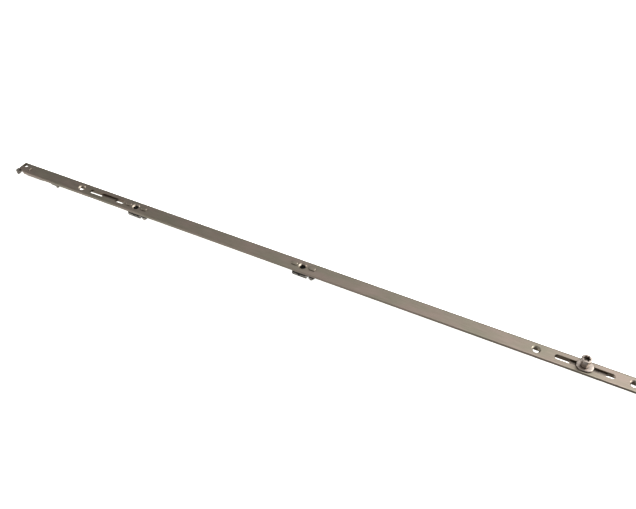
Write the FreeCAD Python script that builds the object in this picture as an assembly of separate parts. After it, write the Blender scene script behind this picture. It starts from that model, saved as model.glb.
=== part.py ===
import FreeCAD, Part
import math
import os

# Espagnolette-type flush bolt rail, in millimetres.
# X runs along the rail, Y across it, Z out of the faceplate. Z = 0 is the outer face of the faceplate.
# X = 0 is half way between the two outermost screw holes.

# Stations along the rail, measured from its left end.
STATION_ORIGIN = 394.0
STATION_LEFT_END = 0.0
STATION_RIGHT_END = 742.0
STATION_SCREW_LEFT_END = 91.0
STATION_SCREW_LEFT_BLOCK = 166.5
STATION_SCREW_MIDDLE_BLOCK = 374.0
STATION_SCREW_CAM_LEFT = 611.5
STATION_SCREW_CAM_RIGHT = 697.0
STATION_CAM = 654.5
STATION_SPARE_SLOT = 127.0

# Faceplate.
PLATE_WIDTH = 16.0
PLATE_THICKNESS = 2.5
PLATE_EDGE_RADIUS = 0.8
CORNER_CUT_START = 3.6
CORNER_CUT_END = 10.5
CORNER_CUT_INSET = 3.4
END_CUT_INSET = 5.2
SCREW_HOLE_RADIUS = 2.9
COUNTERSINK_RADIUS = 4.2
COUNTERSINK_DEPTH = 1.3
SLOT_WIDTH = 5.5
SPARE_SLOT_LENGTH = 47.6
CAM_SLOT_LENGTH = 53.0
LOCATING_HOLE_STATION = 4.7
LOCATING_HOLE_LENGTH = 6.0
LOCATING_HOLE_WIDTH = 3.8
LOCATING_HOLE_Y = 3.2
RIB_STATION = 14.0
RIB_Y = -0.4
RIB_LENGTH = 4.6
RIB_WIDTH = 1.8
RIB_HEIGHT = 0.6
RIB_EDGE_RADIUS = 0.4

# Drive rod.
RUNNING_GAP = 0.15
CONTACT_GAP = 0.05
ROD_WIDTH = 10.0
ROD_THICKNESS = 2.5
ROD_LEFT_STATION = 8.0
ROD_RIGHT_STATION = 744.5
ROD_TIP_NEAR_Y = -0.5
ROD_SLOTS = (
    (64.0, 118.5),
    (136.5, 199.7),
    (344.6, 405.2),
    (587.5, 642.5),
    (673.3, 725.3),
)
ROD_NOTCH = (735.9, 741.1)
ROD_NOTCH_INNER_Y = -1.2

# Guide blocks, with X measured from the block's middle point, which lies this far right of its screw.
BLOCK_SHIFTS = {"left": 1.6, "middle": 0.0}
BLOCK_HALF_WIDTH = 6.1
BLOCK_TOP = -5.8
BLOCK_PROFILE = (
    (-9.2, BLOCK_TOP),
    (-9.5, -8.8),
    (-8.6, -9.6),
    (6.6, -9.8),
    (7.4, -8.9),
    (7.4, -6.5),
    (9.5, -6.5),
    (9.5, -8.4),
    (11.8, -10.0),
    (12.8, -9.9),
    (16.2, -6.4),
    (16.2, BLOCK_TOP),
)
BLOCK_RELIEF_DEPTH = 1.2
BLOCK_RELIEFS = ((-8.6, 6.2, -7.0, -5.7), (-2.2, -0.6, -8.9, -6.6), (8.6, 15.0, -6.8, -5.7))
GLIDE_LEFT = -9.0
GLIDE_RIGHT = 15.8
GLIDE_WALL_INNER_Y = ROD_WIDTH / 2.0 + 0.1
GLIDE_FLOOR_THICKNESS = 0.45
SLEEVE_RADIUS = 2.65
SLEEVE_BORE_RADIUS = 2.3
RIVET_OFFSETS = (-8.0, 10.2)
RIVET_SHANK_RADIUS = 1.5
RIVET_TAIL_Z = -7.2

# Oval rivet heads, with X measured from the screw.
RIVET_HEAD_OFFSETS = (-9.1, 10.6)
RIVET_HEAD_Y = (0.3, 0.6)
RIVET_HEAD_LENGTHS = (7.2, 7.8)
RIVET_HEAD_WIDTH = 5.0
RIVET_HEAD_HEIGHT = 0.9
RIVET_HEAD_EDGE = 0.6

# Coupling claw.
CLAW_THICKNESS = 2.2
CLAW_LEFT_STATION = 3.0
CLAW_RIGHT_STATION = 36.0
CLAW_HALF_WIDTH = 4.5
CLAW_ARM_Y = (-0.9, 2.6)
CLAW_ARM_LEFT_STATION = -4.6
HOOK_STATIONS = (-5.0, -1.2)
HOOK_Y = (-5.6, -0.9)
HOOK_TOP = -2.8
HOOK_BOTTOM = -9.8
HOOK_CHAMFER = 1.5
CLAW_RIVET_STATIONS = (15.0, 29.0)

# Driver lug.
LUG_BASE_STATIONS = (46.0, 60.2)
LUG_BASE_THICKNESS = 1.6
LUG_HALF_WIDTH = 4.9
LUG_OUTER_Y = -6.1
LUG_ROOT = 0.5
LUG_PROFILE = (
    (50.0, -5.2),
    (50.0, -5.9),
    (56.0, -6.1),
    (56.3, -8.5),
    (58.4, -8.5),
    (60.2, -6.1),
    (60.2, -5.2),
)
LUG_RIVET_STATIONS = (49.5, 57.0)

# Small rivets through the rod.
SMALL_RIVET_RADIUS = 1.25
SMALL_RIVET_HEAD_RADIUS = 2.1
SMALL_RIVET_HEAD_HEIGHT = 0.9
SMALL_RIVET_HEAD_EDGE = 0.6

# Cam group.
DISC_HALF_LENGTH = 7.7
DISC_HALF_WIDTH = 6.1
DISC_BOTTOM = 0.15
DISC_TOP = 1.5
DISC_EDGE_RADIUS = 0.3
STUD_SEAT_RADIUS = 2.5
STUD_NECK_RADIUS = 1.8
STUD_JOURNAL_RADIUS = 2.0
STUD_TIP_RADIUS = 1.4
STUD_TOP = 7.9
STUD_TAIL_RADIUS = 3.0
STUD_TAIL_HEIGHT = 0.8
STUD_TAIL_EDGE = 0.55
BUSH_RADIUS = 2.6
BACKING_WASHER_RADIUS = 4.2
BACKING_WASHER_THICKNESS = 0.5
FRICTION_WASHER_RADIUS = 3.3
FRICTION_WASHER_THICKNESS = 0.3
RING_RADIUS = 2.7
RING_BOTTOM = 7.25
RING_TOP = 7.8
CAM_ECCENTRICITY = 0.8
CAM_BOTTOM = 1.85
CAM_WAIST_Z = 6.8
CAM_TOP = 11.0
CAM_FOOT_RADIUS = 4.0
CAM_HEAD_RADIUS = 5.0
CAM_FACET_COUNT = 8
CAM_EDGE = 0.5
CAM_BORE_RADIUS = 2.06
CAM_COUNTERBORE_RADIUS = 3.0
CAM_COUNTERBORE_Z = 7.2
SOCKET_RADIUS = 3.3
SOCKET_SIDES = 6
SOCKET_BOTTOM = 8.0

# Cutting tools run this far past the faces they cut.
OVERRUN = 1.0
DEEP = -20.0
TOLERANCE = 1e-4

PLATE_BACK = -PLATE_THICKNESS
PLATE_CUT = (PLATE_BACK - OVERRUN, OVERRUN)
ROD_TOP = PLATE_BACK - RUNNING_GAP
ROD_BOTTOM = ROD_TOP - ROD_THICKNESS
UNDER_ROD = ROD_BOTTOM - CONTACT_GAP


def at_station(station):
    """Turn a distance from the left end into X."""
    return station - STATION_ORIGIN


def box(x_range, y_range, z_range):
    """Block between two corners."""
    size = [high - low for low, high in (x_range, y_range, z_range)]
    return Part.makeBox(*size, FreeCAD.Vector(x_range[0], y_range[0], z_range[0]))


def cylinder(x, y, radius, z_range):
    """Upright cylinder."""
    return Part.makeCylinder(radius, z_range[1] - z_range[0], FreeCAD.Vector(x, y, z_range[0]))


def prism(points, z_range):
    """Upright prism from plan points."""
    corners = [FreeCAD.Vector(x, y, z_range[0]) for x, y in points]
    face = Part.Face(Part.makePolygon(corners + corners[:1]))
    return face.extrude(FreeCAD.Vector(0, 0, z_range[1] - z_range[0]))


def side_prism(points, y_range):
    """Prism across the rail from points in the X-Z plane."""
    corners = [FreeCAD.Vector(x, y_range[0], z) for x, z in points]
    face = Part.Face(Part.makePolygon(corners + corners[:1]))
    return face.extrude(FreeCAD.Vector(0, y_range[1] - y_range[0], 0))


def stadium(x_range, y, width, z_range):
    """Round-ended bar along X."""
    radius = width / 2.0
    low = x_range[0] + radius
    high = x_range[1] - radius
    middle = box((low, high), (y - radius, y + radius), z_range)
    ends = [cylinder(x, y, radius, z_range) for x in (low, high)]
    return middle.fuse(ends).removeSplitter()


def edges_at(shape, z):
    """Edges lying wholly at a height."""
    return [edge for edge in shape.Edges if all(abs(v.Z - z) < TOLERANCE for v in edge.Vertexes)]


def countersink(x):
    """Tool that cuts one countersunk screw hole."""
    hole = cylinder(x, 0, SCREW_HOLE_RADIUS, PLATE_CUT)
    cone = Part.makeCone(
        SCREW_HOLE_RADIUS, COUNTERSINK_RADIUS, COUNTERSINK_DEPTH, FreeCAD.Vector(x, 0, -COUNTERSINK_DEPTH)
    )
    return hole.fuse(cone)


def screw_stations():
    """Stations of the five screws."""
    return (
        STATION_SCREW_LEFT_END,
        STATION_SCREW_LEFT_BLOCK,
        STATION_SCREW_MIDDLE_BLOCK,
        STATION_SCREW_CAM_LEFT,
        STATION_SCREW_CAM_RIGHT,
    )


def block_places():
    """Name, screw station and shift of each guide block."""
    return (
        ("left", STATION_SCREW_LEFT_BLOCK, BLOCK_SHIFTS["left"]),
        ("middle", STATION_SCREW_MIDDLE_BLOCK, BLOCK_SHIFTS["middle"]),
    )


def slot_at(station, length):
    """Tool that cuts a long slot in the faceplate."""
    x = at_station(station)
    return stadium((x - length / 2, x + length / 2), 0, SLOT_WIDTH, PLATE_CUT)


def faceplate():
    """Faceplate with its holes, slots, cut corner and rib."""
    half = PLATE_WIDTH / 2.0
    outline = [
        (at_station(STATION_LEFT_END), half),
        (at_station(STATION_LEFT_END), -half + END_CUT_INSET),
        (at_station(CORNER_CUT_START), -half + CORNER_CUT_INSET),
        (at_station(CORNER_CUT_END), -half),
        (at_station(STATION_RIGHT_END), -half),
        (at_station(STATION_RIGHT_END), half),
    ]
    plate = prism(outline, (PLATE_BACK, 0))
    long_edges = [edge for edge in edges_at(plate, 0) if edge.Length > STATION_CAM]
    plate = plate.makeFillet(PLATE_EDGE_RADIUS, long_edges)
    rib_x = at_station(RIB_STATION)
    rib = box(
        (rib_x - RIB_WIDTH / 2, rib_x + RIB_WIDTH / 2),
        (RIB_Y - RIB_LENGTH / 2, RIB_Y + RIB_LENGTH / 2),
        (-RIB_HEIGHT, RIB_HEIGHT),
    )
    rib = rib.makeFillet(RIB_EDGE_RADIUS, edges_at(rib, RIB_HEIGHT))
    hole_x = at_station(LOCATING_HOLE_STATION)
    reach = LOCATING_HOLE_LENGTH / 2
    reach_x = (hole_x - reach, hole_x + reach)
    locating = stadium(reach_x, LOCATING_HOLE_Y, LOCATING_HOLE_WIDTH, PLATE_CUT)
    tools = [countersink(at_station(station)) for station in screw_stations()]
    tools.append(slot_at(STATION_SPARE_SLOT, SPARE_SLOT_LENGTH))
    tools.append(slot_at(STATION_CAM, CAM_SLOT_LENGTH))
    tools.append(locating)
    for _, station, shift in block_places():
        for offset in RIVET_OFFSETS:
            x = at_station(station) + shift + offset
            tools.append(cylinder(x, 0, RIVET_SHANK_RADIUS, PLATE_CUT))
    return plate.fuse(rib).cut(tools).removeSplitter()


def drive_rod():
    """Flat rod with a slot for each screw and a notched right end."""
    half = ROD_WIDTH / 2.0
    left = at_station(ROD_LEFT_STATION)
    right = at_station(ROD_RIGHT_STATION)
    near_left = at_station(CORNER_CUT_END)
    outline = [(left, half), (left, ROD_TIP_NEAR_Y), (near_left, -half), (right, -half), (right, half)]
    rod = prism(outline, (ROD_BOTTOM, ROD_TOP))
    through = (ROD_BOTTOM - OVERRUN, ROD_TOP + OVERRUN)
    tools = [stadium((at_station(a), at_station(b)), 0, SLOT_WIDTH, through) for a, b in ROD_SLOTS]
    notch = [at_station(station) for station in ROD_NOTCH]
    tools.append(box(notch, (-half - OVERRUN, ROD_NOTCH_INNER_Y), through))
    tools.append(cylinder(at_station(STATION_CAM), 0, STUD_NECK_RADIUS, through))
    for station in CLAW_RIVET_STATIONS + LUG_RIVET_STATIONS:
        tools.append(cylinder(at_station(station), 0, SMALL_RIVET_RADIUS, through))
    return rod.cut(tools)


def guide_block(station, shift):
    """Die-cast block with a notched lower side and shallow side reliefs."""
    x = at_station(station) + shift
    profile = [(x + dx, z) for dx, z in BLOCK_PROFILE]
    block = side_prism(profile, (-BLOCK_HALF_WIDTH, BLOCK_HALF_WIDTH))
    tools = [cylinder(at_station(station), 0, SLEEVE_BORE_RADIUS, (DEEP, 0))]
    for offset in RIVET_OFFSETS:
        tools.append(cylinder(x + offset, 0, RIVET_SHANK_RADIUS, (RIVET_TAIL_Z, 0)))
    for low, high, bottom, top in BLOCK_RELIEFS:
        for side in (-1, 1):
            outer = side * (BLOCK_HALF_WIDTH + OVERRUN)
            inner = side * (BLOCK_HALF_WIDTH - BLOCK_RELIEF_DEPTH)
            tools.append(box((x + low, x + high), sorted((outer, inner)), (bottom, top)))
    return block.cut(tools)


def rod_glide(station, shift):
    """U-shaped nylon guide between the faceplate and the block."""
    x = at_station(station) + shift
    span = (x + GLIDE_LEFT, x + GLIDE_RIGHT)
    floor_top = BLOCK_TOP + GLIDE_FLOOR_THICKNESS
    body = box(span, (-BLOCK_HALF_WIDTH, BLOCK_HALF_WIDTH), (BLOCK_TOP, PLATE_BACK))
    channel_span = (span[0] - OVERRUN, span[1] + OVERRUN)
    channel = box(channel_span, (-GLIDE_WALL_INNER_Y, GLIDE_WALL_INNER_Y), (floor_top, PLATE_BACK + OVERRUN))
    holes = [cylinder(x + offset, 0, RIVET_SHANK_RADIUS, (DEEP, 0)) for offset in RIVET_OFFSETS]
    holes.append(cylinder(at_station(station), 0, SLEEVE_RADIUS, (DEEP, 0)))
    return body.cut([channel] + holes)


def screw_sleeve(station):
    """Tube round the screw between the faceplate and the block."""
    x = at_station(station)
    tube = cylinder(x, 0, SLEEVE_RADIUS, (BLOCK_TOP, PLATE_BACK))
    return tube.cut(cylinder(x, 0, SLEEVE_BORE_RADIUS, (DEEP, 0)))


def block_rivets(station, shift):
    """Two rivets with flat oval heads on the faceplate."""
    rivets = []
    heads = zip(RIVET_OFFSETS, RIVET_HEAD_OFFSETS, RIVET_HEAD_Y, RIVET_HEAD_LENGTHS)
    for offset, head_offset, head_y, length in heads:
        x = at_station(station) + shift + offset
        head_x = at_station(station) + head_offset
        span = (head_x - length / 2, head_x + length / 2)
        head = stadium(span, head_y, RIVET_HEAD_WIDTH, (0, RIVET_HEAD_HEIGHT))
        head = head.makeFillet(RIVET_HEAD_EDGE, edges_at(head, RIVET_HEAD_HEIGHT))
        shank = cylinder(x, 0, RIVET_SHANK_RADIUS, (RIVET_TAIL_Z, 0))
        rivets.append(head.fuse(shank).removeSplitter())
    return Part.makeCompound(rivets)


def coupling_claw():
    """Stamped claw under the rod with a hook past the end of the faceplate."""
    levels = (UNDER_ROD - CLAW_THICKNESS, UNDER_ROD)
    outline = [
        (at_station(CLAW_RIGHT_STATION), CLAW_HALF_WIDTH),
        (at_station(CLAW_LEFT_STATION), CLAW_HALF_WIDTH),
        (at_station(CLAW_LEFT_STATION), CLAW_ARM_Y[0]),
        (at_station(CORNER_CUT_END), -CLAW_HALF_WIDTH),
        (at_station(CLAW_RIGHT_STATION), -CLAW_HALF_WIDTH),
    ]
    base = prism(outline, levels)
    arm = box((at_station(CLAW_ARM_LEFT_STATION), at_station(CLAW_LEFT_STATION)), CLAW_ARM_Y, levels)
    low, high = [at_station(station) for station in HOOK_STATIONS]
    hook_profile = [
        (low, HOOK_TOP - HOOK_CHAMFER / 2),
        (low + HOOK_CHAMFER / 2, HOOK_TOP),
        (high, HOOK_TOP),
        (high, HOOK_BOTTOM + HOOK_CHAMFER),
        (high - HOOK_CHAMFER, HOOK_BOTTOM),
        (low + HOOK_CHAMFER, HOOK_BOTTOM),
        (low, HOOK_BOTTOM + HOOK_CHAMFER),
    ]
    hook = side_prism(hook_profile, HOOK_Y)
    holes = [cylinder(at_station(s), 0, SMALL_RIVET_RADIUS, (DEEP, 0)) for s in CLAW_RIVET_STATIONS]
    return base.fuse([arm, hook]).removeSplitter().cut(holes)


def driver_lug():
    """Bracket under the rod with one lug bent down at the near side."""
    low, high = [at_station(station) for station in LUG_BASE_STATIONS]
    base = box((low, high), (-LUG_HALF_WIDTH, LUG_HALF_WIDTH), (UNDER_ROD - LUG_BASE_THICKNESS, UNDER_ROD))
    profile = [(at_station(station), z) for station, z in LUG_PROFILE]
    lug = side_prism(profile, (LUG_OUTER_Y, -LUG_HALF_WIDTH + LUG_ROOT))
    holes = [cylinder(at_station(s), 0, SMALL_RIVET_RADIUS, (DEEP, 0)) for s in LUG_RIVET_STATIONS]
    return base.fuse(lug).removeSplitter().cut(holes)


def small_rivets(stations, bottom):
    """Rivets flush with the top of the rod, with a domed tail below."""
    rivets = []
    for station in stations:
        x = at_station(station)
        shank = cylinder(x, 0, SMALL_RIVET_RADIUS, (bottom, ROD_TOP))
        tail = cylinder(x, 0, SMALL_RIVET_HEAD_RADIUS, (bottom - SMALL_RIVET_HEAD_HEIGHT, bottom))
        tail = tail.makeFillet(SMALL_RIVET_HEAD_EDGE, edges_at(tail, bottom - SMALL_RIVET_HEAD_HEIGHT))
        rivets.append(shank.fuse(tail).removeSplitter())
    return Part.makeCompound(rivets)


def cam_guide_disc():
    """Oval disc that slides on the faceplate."""
    x = at_station(STATION_CAM)
    span = (x - DISC_HALF_LENGTH, x + DISC_HALF_LENGTH)
    disc = stadium(span, 0, 2 * DISC_HALF_WIDTH, (DISC_BOTTOM, DISC_TOP))
    disc = disc.makeFillet(DISC_EDGE_RADIUS, edges_at(disc, DISC_TOP))
    return disc.cut(cylinder(x, 0, STUD_SEAT_RADIUS, (0, CAM_TOP)))


def cam_stud():
    """Stepped stud: riveted tail, neck, seat, journal and tip."""
    x = at_station(STATION_CAM)
    washer_bottom = ROD_BOTTOM - BACKING_WASHER_THICKNESS
    tail = cylinder(x, 0, STUD_TAIL_RADIUS, (washer_bottom - STUD_TAIL_HEIGHT, washer_bottom))
    tail = tail.makeFillet(STUD_TAIL_EDGE, edges_at(tail, washer_bottom - STUD_TAIL_HEIGHT))
    neck = cylinder(x, 0, STUD_NECK_RADIUS, (washer_bottom, DISC_BOTTOM))
    seat = cylinder(x, 0, STUD_SEAT_RADIUS, (DISC_BOTTOM, DISC_TOP))
    journal = cylinder(x, 0, STUD_JOURNAL_RADIUS, (DISC_TOP, RING_BOTTOM))
    tip = cylinder(x, 0, STUD_TIP_RADIUS, (RING_BOTTOM, STUD_TOP))
    return tail.fuse([neck, seat, journal, tip]).removeSplitter()


def ring(outer, inner, z_range):
    """Plain ring on the cam's axis."""
    x = at_station(STATION_CAM)
    tool = cylinder(x, 0, inner, (z_range[0] - OVERRUN, z_range[1] + OVERRUN))
    return cylinder(x, 0, outer, z_range).cut(tool)


def octagon(x, y, radius, z):
    """Octagonal wire with flats facing the four sides."""
    points = []
    for index in range(CAM_FACET_COUNT + 1):
        angle = (index + 0.5) * 2 * math.pi / CAM_FACET_COUNT
        points.append(FreeCAD.Vector(x + radius * math.cos(angle), y + radius * math.sin(angle), z))
    return Part.makePolygon(points)


def key_socket(x):
    """Tools that cut the star socket: two hexagons turned against each other."""
    step = 2 * math.pi / SOCKET_SIDES
    tools = []
    for turn in (0, step / 2):
        angles = [turn + index * step for index in range(SOCKET_SIDES)]
        corners = [(x + SOCKET_RADIUS * math.cos(a), SOCKET_RADIUS * math.sin(a)) for a in angles]
        tools.append(prism(corners, (SOCKET_BOTTOM, CAM_TOP + OVERRUN)))
    return tools


def locking_cam():
    """Eccentric octagonal cam, wider at the head, with a star-shaped key socket."""
    x = at_station(STATION_CAM)
    head_x = x - CAM_ECCENTRICITY
    sections = [
        octagon(head_x + CAM_ECCENTRICITY / 2, 0, CAM_FOOT_RADIUS, CAM_BOTTOM),
        octagon(head_x, 0, CAM_HEAD_RADIUS, CAM_WAIST_Z),
        octagon(head_x, 0, CAM_HEAD_RADIUS, CAM_TOP - CAM_EDGE),
        octagon(head_x, 0, CAM_HEAD_RADIUS - CAM_EDGE, CAM_TOP),
    ]
    body = Part.makeLoft(sections, True, True)
    bore = cylinder(x, 0, CAM_BORE_RADIUS, (0, SOCKET_BOTTOM))
    counterbore = cylinder(x, 0, CAM_COUNTERBORE_RADIUS, (CAM_COUNTERBORE_Z, SOCKET_BOTTOM))
    return body.cut([bore, counterbore] + key_socket(head_x))


def build_parts():
    """All sub-parts by node name."""
    claw_bottom = UNDER_ROD - CLAW_THICKNESS
    lug_bottom = UNDER_ROD - LUG_BASE_THICKNESS
    washer_levels = (ROD_BOTTOM - BACKING_WASHER_THICKNESS, ROD_BOTTOM)
    parts = {"faceplate": faceplate(), "drive_rod": drive_rod()}
    for side, station, shift in block_places():
        parts["guide_block_" + side] = guide_block(station, shift)
        parts["rod_glide_" + side] = rod_glide(station, shift)
        parts["screw_sleeve_" + side] = screw_sleeve(station)
        parts["block_rivets_" + side] = block_rivets(station, shift)
    parts["coupling_claw"] = coupling_claw()
    parts["claw_rivets"] = small_rivets(CLAW_RIVET_STATIONS, claw_bottom)
    parts["driver_lug"] = driver_lug()
    parts["lug_rivets"] = small_rivets(LUG_RIVET_STATIONS, lug_bottom)
    parts["cam_guide_disc"] = cam_guide_disc()
    parts["cam_stud"] = cam_stud()
    parts["cam_slot_bush"] = ring(BUSH_RADIUS, STUD_NECK_RADIUS, (ROD_TOP, DISC_BOTTOM))
    parts["cam_backing_washer"] = ring(BACKING_WASHER_RADIUS, STUD_NECK_RADIUS, washer_levels)
    washer_top = DISC_TOP + FRICTION_WASHER_THICKNESS
    parts["cam_friction_washer"] = ring(FRICTION_WASHER_RADIUS, STUD_JOURNAL_RADIUS, (DISC_TOP, washer_top))
    parts["cam_retaining_ring"] = ring(RING_RADIUS, STUD_TIP_RADIUS, (RING_BOTTOM, RING_TOP))
    parts["locking_cam"] = locking_cam()
    return parts


os.makedirs("parts", exist_ok=True)
for name, shape in build_parts().items():
    shape.exportStep("parts/" + name + ".step")
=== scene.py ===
"""Flush bolt rail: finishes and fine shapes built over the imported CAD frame.

Units are metres. X runs along the rail, Y across it and Z out of the faceplate, whose outer face is at Z = 0.
"""

import logging
import math
from dataclasses import dataclass, field
from enum import Enum
from typing import Sequence

import bmesh
import bpy
from mathutils import Matrix, Vector


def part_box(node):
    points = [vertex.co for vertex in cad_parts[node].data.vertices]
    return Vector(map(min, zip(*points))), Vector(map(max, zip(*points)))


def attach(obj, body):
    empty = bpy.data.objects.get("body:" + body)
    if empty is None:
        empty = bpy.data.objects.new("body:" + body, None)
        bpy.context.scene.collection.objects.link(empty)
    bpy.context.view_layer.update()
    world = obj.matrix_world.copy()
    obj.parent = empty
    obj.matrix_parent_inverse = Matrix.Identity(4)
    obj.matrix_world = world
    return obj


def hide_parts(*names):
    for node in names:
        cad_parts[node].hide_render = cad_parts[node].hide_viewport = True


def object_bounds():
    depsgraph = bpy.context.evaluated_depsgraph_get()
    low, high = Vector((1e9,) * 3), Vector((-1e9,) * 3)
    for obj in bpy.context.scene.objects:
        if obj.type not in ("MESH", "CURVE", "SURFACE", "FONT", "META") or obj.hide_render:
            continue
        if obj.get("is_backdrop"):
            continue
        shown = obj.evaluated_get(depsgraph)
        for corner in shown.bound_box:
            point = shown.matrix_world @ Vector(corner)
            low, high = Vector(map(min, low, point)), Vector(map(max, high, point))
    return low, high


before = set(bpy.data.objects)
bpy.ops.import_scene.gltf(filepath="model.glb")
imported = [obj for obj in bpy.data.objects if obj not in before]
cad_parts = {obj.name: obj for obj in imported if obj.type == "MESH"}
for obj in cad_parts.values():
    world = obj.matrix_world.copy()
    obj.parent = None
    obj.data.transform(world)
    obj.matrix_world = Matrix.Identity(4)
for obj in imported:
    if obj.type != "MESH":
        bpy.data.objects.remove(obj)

logging.basicConfig(level=logging.INFO, format="%(message)s")
LOG = logging.getLogger("flush_bolt")

MM = 0.001
WELD_DISTANCE = 0.001 * MM
# How far a cutting tool runs past the face that it cuts.
CUT_OVERRUN = 1.0 * MM
HOLE_SIDES = 48
CAD_EDGE_SEGMENTS = 2
# A rounded corner takes up at most this share of each side beside it.
LONGEST_CURVE_SHARE = 0.45
# Angles between faces, in degrees. From the first on, a CAD node has its edges broken; from the second on, a
# piece has them rounded.
BROKEN_EDGE_ANGLE = 32.0
EDGE_ANGLE = 28.0
# Faces closer than this to one plane are joined.
FLAT_ANGLE = 1.0
# From these on, an edge is shaded sharp.
SHARP_ANGLE = 35.0
CAM_SHARP_ANGLE = 30.0
RIVET_SHARP_ANGLE = 50.0
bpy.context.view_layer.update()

Point2 = tuple[float, float]
Point3 = tuple[float, float, float]
Colour = tuple[float, float, float, float]


class Body(str, Enum):
    """Rigid bodies of the frame."""

    RAIL = "rail"
    ROD = "drive_rod"
    CAM = "locking_cam"


class Slot(str, Enum):
    """Material slots of the record."""

    FACE = "face_steel"
    ROD = "rod_steel"
    BLOCK = "block_zinc"
    NYLON = "black_nylon"
    FASTENER = "fastener_steel"
    CLAW = "claw_steel"
    CAM = "cam_steel"


def linear(hex_colour: str) -> Colour:
    """Turn an sRGB hex colour into linear values, by the curve that defines sRGB.

    Args:
        hex_colour: Six hex digits, such as "8a8178".

    Returns:
        Linear red, green, blue and an alpha of one.
    """
    values = [int(hex_colour[i : i + 2], 16) / 255.0 for i in (0, 2, 4)]
    red, green, blue = [v / 12.92 if v <= 0.04045 else ((v + 0.055) / 1.055) ** 2.4 for v in values]
    return (red, green, blue, 1.0)


def add_node(
    tree: bpy.types.NodeTree,
    kind: str,
    settings: dict[str, object] | None = None,
    inputs: dict[str | int, object] | None = None,
) -> bpy.types.Node:
    """Add a shader node with its settings, values and links.

    Args:
        tree: Node tree that gets the node.
        kind: Blender's name for the node type.
        settings: Attributes set on the node.
        inputs: Value or output socket for each named or numbered input.

    Returns:
        The new node.
    """
    node = tree.nodes.new(kind)
    for name, value in (settings or {}).items():
        setattr(node, name, value)
    for name, value in (inputs or {}).items():
        if isinstance(value, bpy.types.NodeSocket):
            tree.links.new(value, node.inputs[name])
        else:
            node.inputs[name].default_value = value
    return node


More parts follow.
